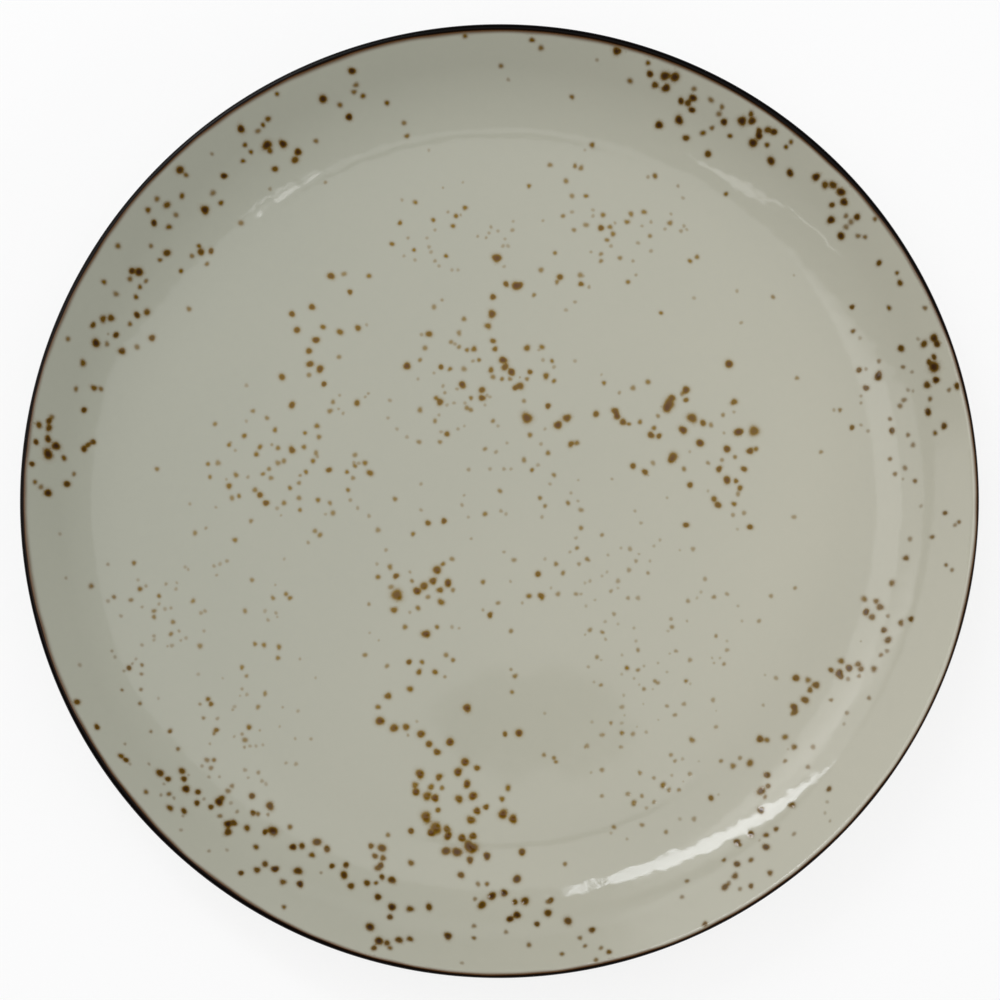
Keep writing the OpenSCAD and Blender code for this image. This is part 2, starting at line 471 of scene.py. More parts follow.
right_specks = {
    LARGE: [(672, 398), (667, 408), (878, 377)],
    MEDIUM: [(671, 460), (741, 432), (690, 485), (686, 525), (750, 527), (928, 412), (957, 386)],
    SMALL: [
        (859, 370), (852, 427), (945, 513), (901, 347), (892, 432), (682, 394), (654, 428), (711, 425),
        (738, 494), (577, 548), (587, 559), (579, 564), (563, 573), (630, 549), (636, 561), (629, 570),
        (648, 573), (618, 581), (611, 591), (576, 594), (628, 598), (638, 598), (614, 614), (590, 630),
        (602, 632), (671, 619), (672, 627), (688, 601), (714, 597), (759, 621), (716, 636), (727, 650),
        (638, 650), (676, 651), (690, 660), (597, 657), (658, 683), (913, 445), (852, 307),
    ],
    TINY: [
        (724, 433), (734, 412), (708, 491), (635, 511), (612, 479), (571, 493), (578, 501), (641, 523),
        (576, 538), (570, 552), (621, 548), (639, 554), (650, 561), (608, 555), (607, 572), (602, 576),
        (618, 588), (585, 583), (590, 581), (581, 594), (595, 600), (586, 606), (618, 624), (634, 628),
        (668, 631), (687, 621), (701, 592), (697, 598), (738, 606), (742, 621), (727, 641), (720, 658),
        (714, 663), (636, 641), (622, 655), (644, 666), (658, 663), (667, 672), (594, 682), (686, 681),
        (765, 675), (660, 540), (654, 546), (860, 338), (918, 339), (912, 372), (866, 369), (861, 396),
        (861, 403), (834, 410), (861, 425), (868, 431), (908, 390), (913, 391), (903, 479), (921, 506),
    ],
}
left_specks = {
    SMALL: [
        (134, 563), (91, 586), (140, 589), (114, 597), (131, 600), (159, 596), (193, 601), (154, 611),
        (154, 617), (173, 622), (171, 634), (200, 646), (252, 580), (245, 611), (273, 598), (286, 594),
        (290, 598), (255, 644), (264, 645), (279, 647), (278, 658), (208, 699), (211, 704), (216, 730),
        (249, 727), (170, 731), (129, 668),
    ],
    TINY: [
        (138, 580), (146, 586), (108, 601), (159, 604), (166, 584), (176, 589), (165, 609), (171, 608),
        (121, 616), (179, 631), (186, 638), (204, 631), (201, 613), (205, 611), (154, 636), (154, 640),
        (142, 645), (214, 566), (220, 564), (227, 561), (265, 611), (276, 613), (268, 620), (246, 676),
        (204, 718), (214, 734), (151, 731), (140, 703), (141, 689), (122, 690), (142, 665), (142, 674),
        (136, 659), (124, 671), (115, 657), (112, 651),
    ],
}
lower_specks = {
    MEDIUM: [(540, 595), (705, 924)],
    SMALL: [(485, 514), (378, 530), (540, 498)],
    TINY: [
        (421, 484), (550, 484), (542, 517), (501, 511), (506, 514), (462, 505), (421, 510), (369, 516),
        (386, 550), (504, 552), (377, 564), (410, 572), (452, 627), (483, 610), (551, 588), (545, 559),
    ],
}
SPOT_GROUPS = [
    faint_middle, upper_specks, right_specks, left_specks, lower_specks,
    upper_left_wall, left_rim, top_wall, upper_right_wall, right_wall, lower_right_knee, upper_floor,
    upper_right_floor, middle_floor, right_floor, left_floor, lower_middle_floor, lower_string,
    lower_cluster, bottom_left_wall, bottom_wall, lower_left_wall, lower_right_wall, lower_right_floor,
]

# Sprays of specks too faint to place one by one: middle and spread in pixels, and how many
FAINT_SPRAYS = [
    ((275, 470), 50, 26), ((640, 730), 45, 18), ((240, 730), 45, 22), ((700, 760), 50, 10),
    ((470, 240), 45, 12), ((200, 640), 60, 16), ((500, 500), 190, 60),
]
# Iron and diameter of such a speck, the least share of that iron, and how far inside the lip they end
SPRAY_SIZES = [(0.3, 1.1 * MM), (0.34, 1.3 * MM), (0.4, 1.5 * MM)]
SPRAY_LEAST_IRON = 0.7
SPRAY_LIP_GAP = 4 * MM
SPOT_SEED = 7

# Spots burn from gold on the floor to near black up the wall, where the coat is thin
CHAR_FROM_R = 96 * MM
CHAR_FULL_R = 124 * MM
# On the far wall they are a little larger and richer
FAR_GAIN = 0.19
# At the near right, where the coat pooled, they are smaller, paler and less burnt, but less so up the wall
POOL_TURN = math.radians(-38)
POOL_FULL_R = 50 * MM
POOL_SHRINKS = 0.16
POOL_PALES = 0.25
POOL_COOLS = 0.9
WALL_DRAINS = 0.7
# No two are alike in size, iron or outline
SPOT_D_SPREAD = (0.88, 1.12)
SPOT_IRON_SPREAD = (0.85, 1.15)
MOST_OVAL = 0.14
MOST_DENT = 0.09
# Relief of the glaze dies out over this width below the top of the wall
RELIEF_FADE = 5 * MM


class Spot:
    """One spot of iron in the glaze: a rounded blot, foreshortened in plan where the wall leans."""

    def __init__(self, place, diameter, iron, rise, draw):
        self.x, self.y = place
        r = math.hypot(self.x, self.y)
        self.out = (self.x / r, self.y / r)
        up_wall = min(1, max(0, (r - CHAR_FROM_R) / (CHAR_FULL_R - CHAR_FROM_R)))
        far = up_wall * max(0, self.y / PLATE_R)
        gain = 1 + FAR_GAIN * far
        pool_turn = math.atan2(self.y, self.x) - POOL_TURN
        pooled = max(0, 2 * math.cos(pool_turn) - 1) * min(1, r / POOL_FULL_R) * (1 - WALL_DRAINS * up_wall)
        self.reach = diameter / 2 * draw.uniform(*SPOT_D_SPREAD) * gain * (1 - POOL_SHRINKS * pooled)
        self.lean = 1 / math.hypot(1, float(face_slope(np.array(r))))
        self.iron = min(1, iron * draw.uniform(*SPOT_IRON_SPREAD) * gain * (1 - POOL_PALES * pooled))
        self.rise = rise * min(1, max(0, (WALL_TOP_R - r - self.reach) / RELIEF_FADE))
        self.char = up_wall * (1 - POOL_COOLS * pooled)
        self.oval = (draw.uniform(0, MOST_OVAL), draw.uniform(0, FULL_TURN))
        self.dent = (draw.uniform(0, MOST_DENT), draw.uniform(0, FULL_TURN))

    def outline(self, angle):
        oval = self.oval[0] * np.cos(2 * (angle - self.oval[1]))
        dent = self.dent[0] * np.cos(3 * (angle - self.dent[1]))
        return self.reach * (1 + oval + dent)

    def ring(self, share, count):
        """Plan points round the spot at a share of its own outline."""
        points = []
        for k in range(count):
            angle = FULL_TURN * (k + share) / count
            away = share * self.outline(angle)
            out = away * math.cos(angle) * self.lean
            side = away * math.sin(angle)
            points.append((
                self.x + out * self.out[0] - side * self.out[1],
                self.y + out * self.out[1] + side * self.out[0],
            ))
        return points

    def depth(self, x, y):
        """Share of the way from the spot's middle to its outline at points near it, and their offsets."""
        out = ((x - self.x) * self.out[0] + (y - self.y) * self.out[1]) / self.lean
        side = (y - self.y) * self.out[0] - (x - self.x) * self.out[1]
        return np.hypot(out, side) / self.outline(np.arctan2(side, out)), out, side


def iron_spots():
    """All the spots, the largest first, so that the mesh gives those their points before the small ones."""
    draw = random.Random(SPOT_SEED)
    spots = []
    for group in SPOT_GROUPS:
        for size, pixels in group.items():
            for place in on_plate(pixels):
                spots.append(Spot(place, SPOT_D[size], SPOT_IRON[size], SPOT_RISE[size], draw))
    for middle, spread, count in FAINT_SPRAYS:
        pixels = [(draw.gauss(middle[0], spread), draw.gauss(middle[1], spread)) for _ in range(count)]
        for place in on_plate(pixels):
            if math.hypot(*place) < WALL_TOP_R - SPRAY_LIP_GAP:
                iron, diameter = draw.choice(SPRAY_SIZES)
                spots.append(Spot(place, diameter, iron * draw.uniform(SPRAY_LEAST_IRON, 1), 0, draw))
    return sorted(spots, key=lambda spot: -spot.reach)


# Face mesh: rings of points close together round each spot and along the dark edge, wider apart between
COLUMNS = 720
COLUMN_ANGLES = [FULL_TURN * k / COLUMNS for k in range(COLUMNS)]
# Rows behind the dark edge, and how many of them have a point in every column
EDGE_ROWS = [row * MM for row in (0, 0.1, 0.2, 0.32, 0.46, 0.62, 0.8, 1.0, 1.3, 1.7, 2.4, 3.4)]
FULL_EDGE_ROWS = 9
# Rings of a spot, by share of its outline, and the points in each
PLAIN_RINGS = ([0.5, 0.95, 1.5], 8)
FINE_RINGS = ([0.4, 0.72, 0.95, 1.2, 1.65], 12)
FINE_FROM_REACH = 0.7 * MM
RING_APART = 0.2
# Field between them: its steps, and its rows and least gaps as shares of a step
FIELD_STEP = 2.2 * MM
WALL_STEP = 1.7 * MM
FIELD_ROW = 0.87
FIELD_APART = 0.62
FEWEST_ROUND = 6


class Sieve:
    """Keeps points that are no closer than a set distance to the ones kept before."""

    def __init__(self, cell):
        self.cell = cell
        self.cells = {}
        self.points = []

    def offer(self, x, y, apart):
        i, j = int(x // self.cell), int(y // self.cell)
        for di in (-1, 0, 1):
            for dj in (-1, 0, 1):
                for px, py in self.cells.get((i + di, j + dj), ()):
                    if (px - x) ** 2 + (py - y) ** 2 < apart * apart:
                        return
        self.cells.setdefault((i, j), []).append((x, y))
        self.points.append((x, y))


def face_points(spots):
    """Plan points of the face. The first of them are the dark edge itself, one for each column."""
    sieve = Sieve(FIELD_STEP)
    for row, inset in enumerate(EDGE_ROWS):
        for k, angle in enumerate(COLUMN_ANGLES):
            if row < FULL_EDGE_ROWS or k % 2 == row % 2:
                r = dark_edge(angle) - inset
                sieve.offer(r * math.cos(angle), r * math.sin(angle), 0)
    for spot in spots:
        shares, count = FINE_RINGS if spot.reach > FINE_FROM_REACH else PLAIN_RINGS
        for x, y in [(spot.x, spot.y)] + [p for share in shares for p in spot.ring(share, count)]:
            if math.hypot(x, y) < dark_edge(math.atan2(y, x)) - EDGE_ROWS[1]:
                sieve.offer(x, y, RING_APART * spot.reach)
    r = EDGE_LEAST_R - EDGE_ROWS[-1]
    while r > FIELD_STEP:
        step = FIELD_STEP if r < KNEE_X else WALL_STEP
        r -= step * FIELD_ROW
        count = max(FEWEST_ROUND, round(FULL_TURN * r / step))
        for k in range(count):
            angle = FULL_TURN * (k + 0.5 * (round(r / MM) % 2)) / count
            sieve.offer(r * math.cos(angle), r * math.sin(angle), FIELD_APART * step)
    return sieve.points


# Slow swells that the glaze froze with, all over the face: height in mm, length, heading and start
SWELLS = [
    (0.012, 61 * MM, 0.4, 1.0), (0.01, 43 * MM, 1.9, 4.0), (0.006, 27 * MM, 2.7, 0.5),
    (0.004, 13 * MM, 0.9, 2.2), (0.003, 11 * MM, 2.2, 5.0),
]
# Ripples where it ran off the wall, and the radii between which they set in
RIPPLES = [
    (0.006, 7.3 * MM, 0.3, 0.0), (0.006, 6.1 * MM, 1.4, 1.0), (0.005, 4.7 * MM, 2.3, 2.0),
    (0.004, 3.9 * MM, 0.9, 3.0),
]
RIPPLE_FROM_R = 100 * MM
RIPPLE_FULL_R = 112 * MM


def smooth(low, high, value):
    t = np.clip((value - low) / (high - low), 0, 1)
    return t * t * (3 - 2 * t)


def waves(x, y, trains):
    """Height of the wave trains and their slopes in x and y."""
    high, lean_x, lean_y = (np.zeros_like(x) for _ in range(3))
    for size, length, heading, start in trains:
        turn = FULL_TURN / length
        phase = turn * (x * math.cos(heading) + y * math.sin(heading)) + start
        high += size * MM * np.sin(phase)
        lean_x += size * MM * turn * math.cos(heading) * np.cos(phase)
        lean_y += size * MM * turn * math.sin(heading) * np.cos(phase)
    return np.stack([high, lean_x, lean_y])


def swells(x, y):
    """Height and slopes of the swells and ripples, which die out towards the lip."""
    r = np.hypot(x, y)
    fade = np.clip((WALL_TOP_R - r) / RELIEF_FADE, 0, 1)
    return fade * (waves(x, y, SWELLS) + smooth(RIPPLE_FROM_R, RIPPLE_FULL_R, r) * waves(x, y, RIPPLES))


# How a spot's iron fades, by share of the way to its outline: a core, a faint halo and the burnt part
CORE_FROM = 0.25
CORE_TO = 1.2
HALO_FROM = 0.9
HALO_TO = 1.65
HALO_IRON = 0.08
CHAR_TO = 1.3
SPOT_CELL = 4 * MM


def by_cells(x, y):
    """Numbers of the points by square cells, to find those round a spot."""
    cells = {}
    for k, key in enumerate(zip((x // SPOT_CELL).astype(int), (y // SPOT_CELL).astype(int))):
        cells.setdefault(key, []).append(k)
    return cells


def spotted(spots, x, y):
    """Iron and charring at each point of the face, and the spots' relief with its slopes in x and y."""
    clear, char, high, lean_x, lean_y = (np.zeros_like(x) for _ in range(5))
    clear += 1
    cells = by_cells(x, y)
    for spot in spots:
        i, j = int(spot.x // SPOT_CELL), int(spot.y // SPOT_CELL)
        around = [(i + di, j + dj) for di in (-1, 0, 1) for dj in (-1, 0, 1)]
        near = np.array([k for cell in around for k in cells.get(cell, ())])
        depth, out, side = spot.depth(x[near], y[near])
        inside = depth < HALO_TO
        near, depth, out, side = near[inside], depth[inside], out[inside], side[inside]
        core = 1 - smooth(CORE_FROM, CORE_TO, depth)
        halo = HALO_IRON * (1 - smooth(HALO_FROM, HALO_TO, depth))
        clear[near] *= 1 - spot.iron * np.maximum(core, halo)
        char[near] = np.maximum(char[near], spot.char * (depth < CHAR_TO))
        dome = np.maximum(1 - depth ** 2, 0)
        high[near] += spot.rise * dome ** 2
        fall = -4 * spot.rise * dome / spot.reach ** 2
        lean_x[near] += fall * (out / spot.lean * spot.out[0] - side * spot.out[1])
        lean_y[near] += fall * (out / spot.lean * spot.out[1] + side * spot.out[0])
    return 1 - clear, char, np.stack([high, lean_x, lean_y])


# What all the coats share
SHARP_ANGLE = math.radians(50)


def link_piece(name, mesh, material, node):
    piece = bpy.data.objects.new(name, mesh)
    bpy.context.scene.collection.objects.link(piece)
    mesh.materials.append(material)
    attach(piece, "root")
    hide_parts(node)


def give(mesh, name, values):
    """Stores one number for each vertex, for the finish to read."""
    mesh.attributes.new(name, "FLOAT", "POINT").data.foreach_set("value", np.array(values, np.float32))


def round_off(mesh):
    """Smooth shading, but for the edges where the coat ends."""
    mesh.polygons.foreach_set("use_smooth", [True] * len(mesh.polygons))
    mesh.set_sharp_from_angle(angle=SHARP_ANGLE)


def lip_point(turn, depth):
    return LIP_X + (LIP_R - depth) * math.cos(turn), LIP_Z + (LIP_R - depth) * math.sin(turn)


def arc(centre, radius, start, end, steps):
    turns = [start + (end - start) * k / steps for k in range(steps + 1)]
    return [(centre[0] + radius * math.cos(t), centre[1] + radius * math.sin(t)) for t in turns]


# Face coat
INSIDE_EDGE = 1
SAME_POINT_MM = 1e-6
UNDER_KNEE_STEPS = 5


def face_net(points):
    """Joins the points into triangles inside the dark edge, and finds the numbers of the edge's points."""
    edge = [(k, (k + 1) % COLUMNS) for k in range(COLUMNS)]
    plan = [Vector((px / MM, py / MM)) for px, py in points]
    made, _, triangles, origins, _, _ = delaunay_2d_cdt(plan, edge, [], INSIDE_EDGE, SAME_POINT_MM)
    rim = [None] * COLUMNS
    for index, from_points in enumerate(origins):
        for k in from_points:
            if k < COLUMNS:
                rim[k] = index
    x, y = (np.array([p[axis] for p in made]) * MM for axis in (0, 1))
    return x, y, [tuple(t) for t in triangles], rim


def raised_face(x, y, relief):
    """Heights and normals of the face with its relief, which stands square to the wall."""
    r = np.hypot(x, y)
    slope = face_slope(r)
    high, lean_x, lean_y = relief * np.hypot(1, slope)
    lean_x += slope * x / np.maximum(r, MM)
    lean_y += slope * y / np.maximum(r, MM)
    normals = np.stack([-lean_x, -lean_y, np.ones_like(x)], 1)
    return face_height(r) + high, normals / np.linalg.norm(normals, axis=1)[:, None]


def face_underside(first, rim):
    """Points and faces that close the coat along the clay. first is the number of the first point."""
    knee = arc((KNEE_X, KNEE_Z), KNEE_R + COAT_T, WALL_SLOPE - QUARTER_TURN, -QUARTER_TURN, UNDER_KNEE_STEPS)
    under = [lip_point(WALL_SLOPE + QUARTER_TURN, COAT_T)] + knee + [(KNEE_X / 2, FLOOR_Z - COAT_T)]
    points = []
    for angle in COLUMN_ANGLES:
        column = [lip_point(dark_edge_turn(angle), COAT_T)] + under
        points += [(r * math.cos(angle), r * math.sin(angle), z) for r, z in column]
    middle = first + len(points)
    points.append((0, 0, FLOOR_Z - COAT_T))
    rows = len(under) + 1
    faces = []
    for k in range(COLUMNS):
        after = (k + 1) % COLUMNS
        here, there = first + k * rows, first + after * rows
        faces.append((rim[k], here, there, rim[after]))
        faces += [(here + i, here + i + 1, there + i + 1, there + i) for i in range(rows - 1)]
        faces.append((here + rows - 1, middle, there + rows - 1))
    return points, faces


def set_normals(mesh, normals, triangle_count):
    """Gives the corners of the first triangles the normals of their points, and leaves the rest alone."""
    corners = np.zeros(len(mesh.loops), int)
    mesh.loops.foreach_get("vertex_index", corners)
    top = 3 * triangle_count
    corner_normals = np.zeros((len(corners), 3))
    corner_normals[:top] = normals[corners[:top]]
    mesh.normals_split_custom_set(corner_normals.tolist())


def face_coat(material):
    """Cream glaze over the well and the wall: a closed coat with its spots raised in it."""
    spots = iron_spots()
    x, y, triangles, rim = face_net(face_points(spots))
    iron, char, relief = spotted(spots, x, y)
    z, normals = raised_face(x, y, relief + swells(x, y))
    top = [tuple(v) for v in zip(x, y, z)]
    under, under_faces = face_underside(len(top), rim)
    mesh = bpy.data.meshes.new("face_glaze_coat")
    mesh.from_pydata(top + under, [], triangles + under_faces)
    round_off(mesh)
    set_normals(mesh, normals, len(triangles))

    turn = np.arctan2(y, x)
    inset = np.array([dark_edge(a) for a in turn]) - np.hypot(x, y)
    bleed = 1 - smooth(0, 1, inset / np.array([bleed_reach(a) for a in turn]))
    for name, values in (("iron", iron), ("char", char), ("bleed", bleed)):
        give(mesh, name, list(values) + [0] * len(under))
    link_piece("face_glaze_coat", mesh, material, "face_glaze")


# Coats that are turned about the plate's axis
def turned_coat(name, section, material, node, values=None):
    """section(angle) gives the coat's outline as (r, z) points, from the axis or closed on itself, and values
    names functions that give a number for each of those points."""
    sections = [section(angle) for angle in COLUMN_ANGLES]
    count = len(sections[0])
    from_axis = sections[0][0][0] == 0
    vertices = []
    for angle, outline in zip(COLUMN_ANGLES, sections):
        vertices += [(r * math.cos(angle), r * math.sin(angle), z) for r, z in outline]
    faces = []
    for k in range(COLUMNS):
        here, there = k * count, (k + 1) % COLUMNS * count
        for i in range(count - 1 if from_axis else count):
            after = (i + 1) % count
            face = (here + i, here + after, there + after, there + i)
            if from_axis and i == 0:
                face = (0, here + after, there + after)
            if from_axis and i == count - 2:
                face = (here + i, count - 1, there + i)
            faces.append(face)
    mesh = bpy.data.meshes.new(name)
    mesh.from_pydata(vertices, [], faces)
    for key, numbers in (values or {}).items():
        give(mesh, key, [n for angle in COLUMN_ANGLES for n in numbers(angle)])
    if from_axis:
        drop_loose_points(mesh)
    round_off(mesh)
    link_piece(name, mesh, material, node)


def drop_loose_points(mesh):
    """Takes out the copies of the points on the axis that no face uses."""
    work = bmesh.new()
    work.from_mesh(mesh)
    bmesh.ops.delete(work, geom=[v for v in work.verts if not v.link_faces], context="VERTS")
    work.to_mesh(mesh)
    work.free()


# Dark band: rows close together behind its inner edge, where the brown shows
BAND_ROWS = [0, 0.1 * MM, 0.22 * MM, 0.36 * MM, 0.55 * MM]
BAND_LIP_STEPS = 12
BAND_FOOT_STEPS = 3
BROWN_REACH = 0.16 * MM


def band_foot(angle):
    """Length of the dark band below the rounding of the lip, at the back."""
    return BAND_DROP + MM * swing(angle, BAND_FOOT_SWING)


def back_wall_point(drop, depth):
    r, z = lip_point(BACK_SLOPE - QUARTER_TURN, depth)
    return r - drop * math.cos(BACK_SLOPE), z - drop * math.sin(BACK_SLOPE)


def band_turns(angle):
    start = dark_edge_turn(angle)
    near = [start - row / LIP_R for row in BAND_ROWS]
    end = BACK_SLOPE - QUARTER_TURN
    return near + [near[-1] + (end - near[-1]) * k / BAND_LIP_STEPS for k in range(1, BAND_LIP_STEPS + 1)]


def rim_band_section(angle):
    drops = [band_foot(angle) * k / BAND_FOOT_STEPS for k in range(1, BAND_FOOT_STEPS + 1)]
    turns = band_turns(angle)
    outer = [lip_point(t, 0) for t in turns] + [back_wall_point(d, 0) for d in drops]
    inner = [lip_point(t, COAT_T) for t in turns] + [back_wall_point(d, COAT_T) for d in drops]
    return outer + inner[::-1]


def browning(angle):
    """How far the band's glaze has thinned to brown: most at its inner edge, none on the side to the clay."""
    turns = band_turns(angle)
    brown = [math.exp(-(turns[0] - t) * LIP_R / BROWN_REACH) for t in turns] + [0] * BAND_FOOT_STEPS
    return brown + [0] * len(brown)


# Glaze of the back and of the hollow in the foot, both ending in a rounded bead over the bare clay
BARE_MARGIN_MM = 0.28
# Bead: shares of the coat's thickness, and how far each lies above the bare line
BEAD = [(1, 0.55 * MM), (0.92, 0.25 * MM), (0.6, 0.07 * MM), (0, 0)]
BACK_KNEE_STEPS = 18
FILLET_STEPS = 8
SECOND_ROW = 1.5
FOOT_WELL_ROWS = (0, 0.3, 0.6, 0.85)


def bead(angle, side, foot_r):
    """Edge of the coat on the side of the foot, rounding in to the clay: side is 1 outside, -1 inside."""
    line = BARE_H + MM * (BARE_MARGIN_MM + swing(angle, BARE_SWING))
    return [(foot_r + side * COAT_T * share, line + rise) for share, rise in BEAD]


def back_path(angle, depth):
    start = band_foot(angle)
    wall = [back_wall_point(start, depth), back_wall_point(start * SECOND_ROW, depth)]
    knee_centre = (BACK_KNEE_X, BACK_KNEE_Z)
    knee = arc(knee_centre, BACK_KNEE_R - depth, BACK_SLOPE - QUARTER_TURN, -QUARTER_TURN, BACK_KNEE_STEPS)
    fillet_centre = (FOOT_OUT + COAT_T + FILLET_R, UNDER_Z - FILLET_R)
    return wall + knee + arc(fillet_centre, FILLET_R + depth, QUARTER_TURN, math.pi, FILLET_STEPS)


def back_section(angle):
    outer = back_path(angle, 0) + bead(angle, 1, FOOT_OUT)
    return outer + back_path(angle, COAT_T)[::-1]


def foot_well_path(depth):
    fillet_centre = (FOOT_IN - COAT_T - FILLET_R, UNDER_Z - FILLET_R)
    flat = [(FOOT_IN * share, UNDER_Z + depth) for share in FOOT_WELL_ROWS]
    return flat + arc(fillet_centre, FILLET_R + depth, QUARTER_TURN, 0, FILLET_STEPS)


def foot_well_section(angle):
    outer = foot_well_path(0) + bead(angle, -1, FOOT_IN)
    return outer + foot_well_path(COAT_T)[::-1]


# Finishes
def linear(hex_colour):
    """An sRGB hex colour as linear RGBA."""
    parts = [int(hex_colour[k:k + 2], 16) / 255 for k in (1, 3, 5)]
    return [p / 12.92 if p <= 0.04045 else ((p + 0.055) / 1.055) ** 2.4 for p in parts] + [1]


def add(tree, kind, sockets=None, **settings):
    """Adds a node. settings are its properties, and sockets are values or links for its inputs."""
    node = tree.nodes.new(kind)
    for name, value in settings.items():
        setattr(node, name, value)
    for name, value in (sockets or {}).items():
        if isinstance(value, bpy.types.NodeSocket):
            tree.links.new(value, node.inputs[name])
        else:
            node.inputs[name].default_value = value
    return node


def finish(name):
    """A new material: its node tree, its main shader and the place on the plate in metres."""
    material = bpy.data.materials.new(name)
    material.use_nodes = True
    tree = material.node_tree
    tree.nodes.clear()
    shader = add(tree, "ShaderNodeBsdfPrincipled")
    add(tree, "ShaderNodeOutputMaterial", {"Surface": shader.outputs[0]})
    place = add(tree, "ShaderNodeTexCoord").outputs["Object"]
    return material, tree, shader, place


# Cream glaze: the side towards which its colour is made paler, and the places at which it would be all grey
# or all pale
PALE_TURN = math.radians(-22)
GREYEST_AT = -97 * MM
PALEST_AT = 183 * MM
# Clouds and curds in the melt: their width, and how far each shifts that place
CLOUD_W = 60 * MM
CLOUD_SHIFT = 60 * MM
CURD_W = 2.4 * MM
CURD_SHIFT = 25 * MM
# Curds vary the gloss a little too: the noise they span, and the roughness
CURD_SPAN = (0.3, 0.7)
GLOSS_SPAN = (0.05, 0.08)
GLAZE_IOR = 1.45
# Share of iron by which a spot is all ochre, and that from which its heart darkens
OCHRE_FULL = 0.6
HEART_FROM = 0.55


def cream_glaze(name, iron_of):
    """Cream stoneware glaze, dipped and fired to a gloss: a milky grey-cream, its colour made paler towards
    one side and greyer towards the other, with iron from the clay breaking through it as spots from ochre to
    brown and near black."""
    material, tree, shader, place = finish(name)
    iron, char, bleed = iron_of(tree, place)
    cloud = add(tree, "ShaderNodeTexNoise", {"Vector": place, "Scale": 1 / CLOUD_W, "Detail": 2.0})
    curd = add(tree, "ShaderNodeTexNoise", {"Vector": place, "Scale": 1 / CURD_W, "Detail": 2.0})
    side = add(
        tree, "ShaderNodeVectorMath", {0: place, 1: (math.cos(PALE_TURN), math.sin(PALE_TURN), 0)},
        operation="DOT_PRODUCT",
    )
    clouded = add(
        tree, "ShaderNodeMath", {0: cloud.outputs[0], 1: CLOUD_SHIFT, 2: side.outputs["Value"]},
        operation="MULTIPLY_ADD",
    )
    curdled = add(
        tree, "ShaderNodeMath", {0: curd.outputs[0], 1: CURD_SHIFT, 2: clouded.outputs[0]},
        operation="MULTIPLY_ADD",
    )
    # How far each point lies towards the pale side, which takes the cream from grey to pale
    paleness = add(
        tree, "ShaderNodeMapRange",
        {"Value": curdled.outputs[0], "From Min": GREYEST_AT, "From Max": PALEST_AT},
    )
    glaze = add(
        tree, "ShaderNodeMix",
        {"Factor": paleness.outputs[0], "A": linear("#A3A496"), "B": linear("#BCB9A8")},
        data_type="RGBA",
    )
    bled = add(
        tree, "ShaderNodeMix", {"Factor": bleed, "A": glaze.outputs["Result"], "B": linear("#583A1C")},
        data_type="RGBA",
    )
    ochre = add(
        tree, "ShaderNodeMix", {"Factor": char, "A": linear("#7E6210"), "B": linear("#6A4E0E")},
        data_type="RGBA",
    )
    heart = add(
        tree, "ShaderNodeMix", {"Factor": char, "A": linear("#5A3602"), "B": linear("#301702")},
        data_type="RGBA",
    )
    stain = add(tree, "ShaderNodeMapRange", {"Value": iron, "From Min": 0.0, "From Max": OCHRE_FULL})
    stained = add(
        tree, "ShaderNodeMix",
        {"Factor": stain.outputs[0], "A": bled.outputs["Result"], "B": ochre.outputs["Result"]},
        data_type="RGBA",
    )
    deep = add(tree, "ShaderNodeMapRange", {"Value": iron, "From Min": HEART_FROM, "From Max": 1.0})
    colour = add(
        tree, "ShaderNodeMix",
        {"Factor": deep.outputs[0], "A": stained.outputs["Result"], "B": heart.outputs["Result"]},
        data_type="RGBA",
    )
    gloss = add(
        tree, "ShaderNodeMapRange",
        {
            "Value": curd.outputs[0], "From Min": CURD_SPAN[0], "From Max": CURD_SPAN[1],
            "To Min": GLOSS_SPAN[0], "To Max": GLOSS_SPAN[1],
        },
    )
    tree.links.new(colour.outputs["Result"], shader.inputs["Base Color"])
    tree.links.new(gloss.outputs[0], shader.inputs["Roughness"])
    shader.inputs["IOR"].default_value = GLAZE_IOR
    return material


def face_iron(tree, place):
    """Iron, charring and brown bleed of the face, as its mesh stores them."""
    names = ("iron", "char", "bleed")
    return [add(tree, "ShaderNodeAttribute", attribute_name=name).outputs["Fac"] for name in names]


# Specks of the back: one of up to 2 mm in about every 8 mm. Reach and edge are shares of that spacing
SPECK_SPACING = 8 * MM
SPECK_REACH = 0.13
SPECK_EDGE = (-0.02, 0.025)
SPECK_IRON = 0.9
SPECK_CHAR = 0.4


def back_iron(tree, place):
    """Iron, charring and brown bleed of the back: sparse specks, and no bleed."""
    cells = add(tree, "ShaderNodeTexVoronoi", {"Vector": place, "Scale": 1 / SPECK_SPACING})
    size = add(tree, "ShaderNodeSeparateColor", {"Color": cells.outputs["Color"]})
    reach = add(tree, "ShaderNodeMath", {0: size.outputs[0], 1: SPECK_REACH}, operation="MULTIPLY")
    edge = add(
        tree, "ShaderNodeMath", {0: reach.outputs[0], 1: cells.outputs["Distance"]}, operation="SUBTRACT"
    )
    speck = add(
        tree, "ShaderNodeMapRange",
        {
            "Value": edge.outputs[0], "From Min": SPECK_EDGE[0], "From Max": SPECK_EDGE[1],
            "To Max": SPECK_IRON,
        },
    )
    return speck.outputs[0], SPECK_CHAR, 0.0


STREAK_W = 3 * MM


